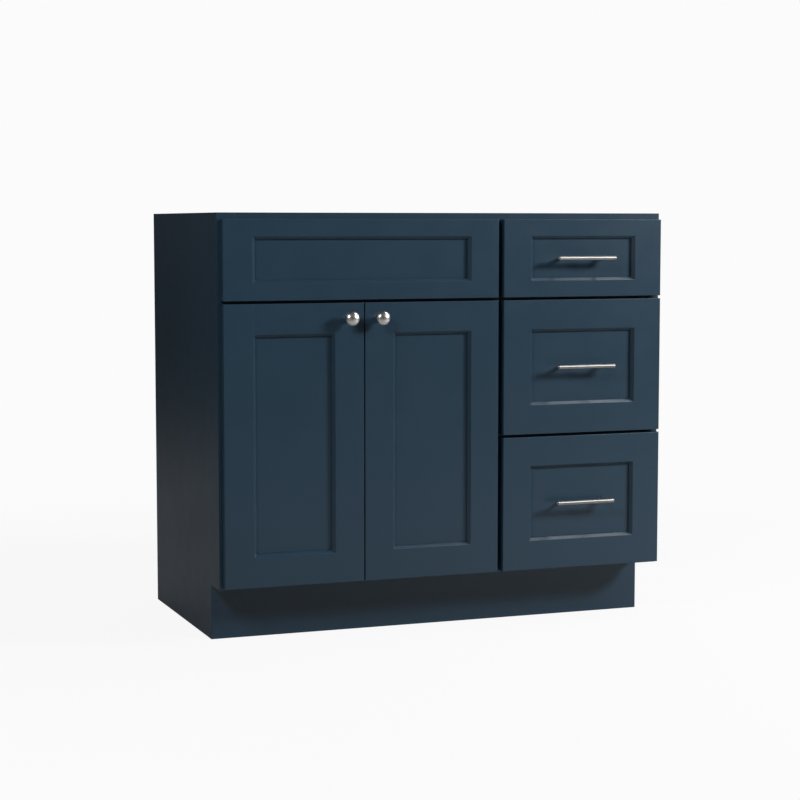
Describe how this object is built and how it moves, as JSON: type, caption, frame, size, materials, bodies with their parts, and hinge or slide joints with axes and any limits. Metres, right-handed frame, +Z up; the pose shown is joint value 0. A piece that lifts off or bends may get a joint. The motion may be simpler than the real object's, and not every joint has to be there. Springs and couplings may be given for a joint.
{
  "type": "bathroom vanity cabinet",
  "caption": "Framed shaker vanity cabinet with an open top, a sink bay behind swinging doors under a false front, and a bank of sliding drawers beside it, on a recessed toe kick.",
  "frame": {"origin": "on the floor, at the middle of the footprint from the foremost point of the pulls to the back edges of the side panels, and midway between the left side and the right stile's edge", "axes": "+X to the right as seen from the front, +Y to the back, towards the wall, +Z up"},
  "size_m": [0.9906, 0.5865, 0.8763],
  "materials": {
    "navy_paint": "satin navy paint on hardwood and MDF",
    "birch_ply": "clear-coated birch plywood",
    "kick_board": "plain plywood",
    "brushed_nickel": "brushed nickel",
    "zinc_steel": "zinc-plated steel",
    "screw_steel": "plated screws",
    "brace_plastic": "moulded plastic",
    "bumper_rubber": "clear soft bumpers"
  },
  "bodies": {
    "cabinet": {"left_side_panel": "navy_paint", "right_side_panel": "navy_paint", "center_partition": "birch_ply", "cabinet_floor": "birch_ply", "back_panel": "birch_ply", "back_rails": "birch_ply", "toe_kick_board": "kick_board", "toe_kick_skin": "navy_paint", "rear_base_rail": "kick_board", "corner_braces": "brace_plastic", "frame_left_stile": "navy_paint", "frame_center_stile": "navy_paint", "frame_right_stile": "navy_paint", "frame_top_rail": "navy_paint", "frame_bottom_rail": "navy_paint", "frame_middle_rails": "navy_paint", "false_front_frame": "navy_paint", "false_front_panel": "navy_paint", "false_front_clips": "zinc_steel", "hinge_arms": "zinc_steel", "slide_cabinet_members": "zinc_steel", "slide_spacers": "birch_ply"},
    "left_door": {"left_door_frame": "navy_paint", "left_door_panel": "navy_paint", "left_door_knob": "brushed_nickel", "left_door_knob_screw": "screw_steel", "left_door_hinge_cups": "zinc_steel", "left_door_hinge_pins": "zinc_steel", "left_door_bumpers": "bumper_rubber"},
    "right_door": {"right_door_frame": "navy_paint", "right_door_panel": "navy_paint", "right_door_knob": "brushed_nickel", "right_door_knob_screw": "screw_steel", "right_door_hinge_cups": "zinc_steel", "right_door_hinge_pins": "zinc_steel", "right_door_bumpers": "bumper_rubber"},
    "top_drawer": {"top_drawer_front_frame": "navy_paint", "top_drawer_front_panel": "navy_paint", "top_drawer_box_walls": "birch_ply", "top_drawer_box_bottom": "birch_ply", "top_drawer_pull": "brushed_nickel", "top_drawer_pull_screws": "screw_steel", "top_drawer_slide_inner_members": "zinc_steel"},
    "top_slides": {"top_drawer_slide_middle_members": "zinc_steel"},
    "middle_drawer": {"middle_drawer_front_frame": "navy_paint", "middle_drawer_front_panel": "navy_paint", "middle_drawer_box_walls": "birch_ply", "middle_drawer_box_bottom": "birch_ply", "middle_drawer_pull": "brushed_nickel", "middle_drawer_pull_screws": "screw_steel", "middle_drawer_slide_inner_members": "zinc_steel"},
    "middle_slides": {"middle_drawer_slide_middle_members": "zinc_steel"},
    "bottom_drawer": {"bottom_drawer_front_frame": "navy_paint", "bottom_drawer_front_panel": "navy_paint", "bottom_drawer_box_walls": "birch_ply", "bottom_drawer_box_bottom": "birch_ply", "bottom_drawer_pull": "brushed_nickel", "bottom_drawer_pull_screws": "screw_steel", "bottom_drawer_slide_inner_members": "zinc_steel"},
    "bottom_slides": {"bottom_drawer_slide_middle_members": "zinc_steel"}
  },
  "joints": [
    {"name": "left_door_swing", "type": "hinge", "parent": "cabinet", "child": "left_door", "pos_m": [-0.4818, -0.2572, 0.4055], "axis": [0, 0, -1], "range_deg": [0, 95]},
    {"name": "right_door_swing", "type": "hinge", "parent": "cabinet", "child": "right_door", "pos_m": [0.1008, -0.2572, 0.4055], "axis": [0, 0, 1], "range_deg": [0, 95]},
    {"name": "top_drawer_slide", "type": "slide", "parent": "cabinet", "child": "top_drawer", "axis": [0, -1, 0], "range_m": [0, 0.45]},
    {"name": "top_middle_members_slide", "type": "slide", "parent": "cabinet", "child": "top_slides", "axis": [0, -1, 0], "range_m": [0, 0.225]},
    {"name": "middle_drawer_slide", "type": "slide", "parent": "cabinet", "child": "middle_drawer", "axis": [0, -1, 0], "range_m": [0, 0.45]},
    {"name": "middle_middle_members_slide", "type": "slide", "parent": "cabinet", "child": "middle_slides", "axis": [0, -1, 0], "range_m": [0, 0.225]},
    {"name": "bottom_drawer_slide", "type": "slide", "parent": "cabinet", "child": "bottom_drawer", "axis": [0, -1, 0], "range_m": [0, 0.45]},
    {"name": "bottom_middle_members_slide", "type": "slide", "parent": "cabinet", "child": "bottom_slides", "axis": [0, -1, 0], "range_m": [0, 0.225]}
  ],
  "couplings": [
    {"joint": "top_middle_members_slide", "follows": "top_drawer_slide", "ratio": 0.5},
    {"joint": "middle_middle_members_slide", "follows": "middle_drawer_slide", "ratio": 0.5},
    {"joint": "bottom_middle_members_slide", "follows": "bottom_drawer_slide", "ratio": 0.5}
  ]
}
